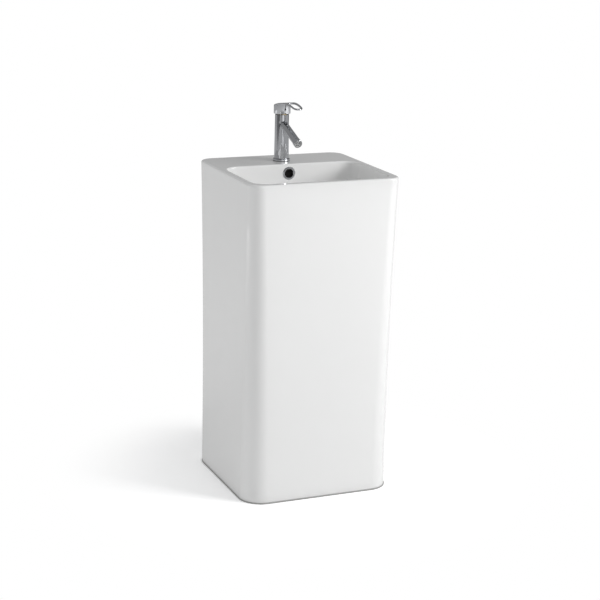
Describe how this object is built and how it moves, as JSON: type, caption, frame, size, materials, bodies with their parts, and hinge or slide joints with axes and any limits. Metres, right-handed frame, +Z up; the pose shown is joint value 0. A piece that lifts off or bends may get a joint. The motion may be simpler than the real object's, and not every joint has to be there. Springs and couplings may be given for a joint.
{
  "type": "pedestal sink",
  "caption": "Square freestanding ceramic pedestal sink with a rectangular bowl, rear deck, single-lever mixer tap, push-open waste and bottle trap inside the column.",
  "frame": {"origin": "on the floor, under the middle of the outline", "axes": "+Z up, -Y towards the user, +Y towards the wall, +X to the right of a user facing the sink"},
  "size_m": [0.418, 0.415, 1.013],
  "materials": {
    "glaze": "glossy white glaze",
    "chrome": "polished chrome plate",
    "steel": "brushed",
    "brass": "machined",
    "rubber": "matte",
    "silicone": "satin grey silicone",
    "disc": "lapped",
    "plastic": "satin white",
    "index": "glossy"
  },
  "bodies": {
    "sink": {"ceramic_basin": "glaze", "ceramic_column": "glaze", "floor_seal": "silicone", "overflow_ring": "chrome", "tap_body": "chrome", "tap_base_ring": "chrome", "tap_base_seal": "rubber", "spout_tube": "chrome", "aerator_housing": "chrome", "aerator_insert": "plastic", "aerator_washer": "rubber", "cartridge_housing": "plastic", "cartridge_seal": "rubber", "fixed_disc": "disc", "cartridge_nut": "brass", "mounting_stud": "steel", "horseshoe_rubber": "rubber", "horseshoe_plate": "steel", "stud_nut": "brass", "waste_body": "chrome", "waste_upper_seal": "rubber", "waste_lower_seal": "rubber", "waste_backnut": "brass", "click_guide": "plastic", "click_spring": "steel", "inlet_nut": "plastic", "inlet_washer": "rubber", "inlet_tube": "plastic", "tube_nut": "plastic", "tube_washer": "rubber", "trap_head": "plastic", "trap_cup": "plastic", "cup_seal": "rubber", "outlet_nut": "plastic", "outlet_washer": "rubber", "outlet_tube": "plastic"},
    "carrier": {"cartridge_carrier": "plastic", "moving_disc": "disc", "pivot_pin": "steel"},
    "lever": {"lever_handle": "chrome", "lever_spindle": "steel", "grub_screw": "steel", "index_plug": "index"},
    "plug": {"plug_cap": "chrome", "plug_seal": "rubber", "plug_stem": "brass"}
  },
  "joints": [
    {"name": "lever_swivel", "type": "hinge", "parent": "sink", "child": "carrier", "pos_m": [0, 0.118, 0.966], "axis": [0, 0, 1], "range_deg": [-50, 50]},
    {"name": "lever_lift", "type": "hinge", "parent": "carrier", "child": "lever", "pos_m": [0, 0.118, 0.966], "axis": [-1, 0, 0], "range_deg": [0, 25]},
    {"name": "plug_press", "type": "slide", "parent": "sink", "child": "plug", "axis": [0, 0, 1], "range_m": [-0.009, 0], "stiffness_N_per_m": 400, "springref_m": 0.012, "deforming": ["click_spring"]}
  ]
}
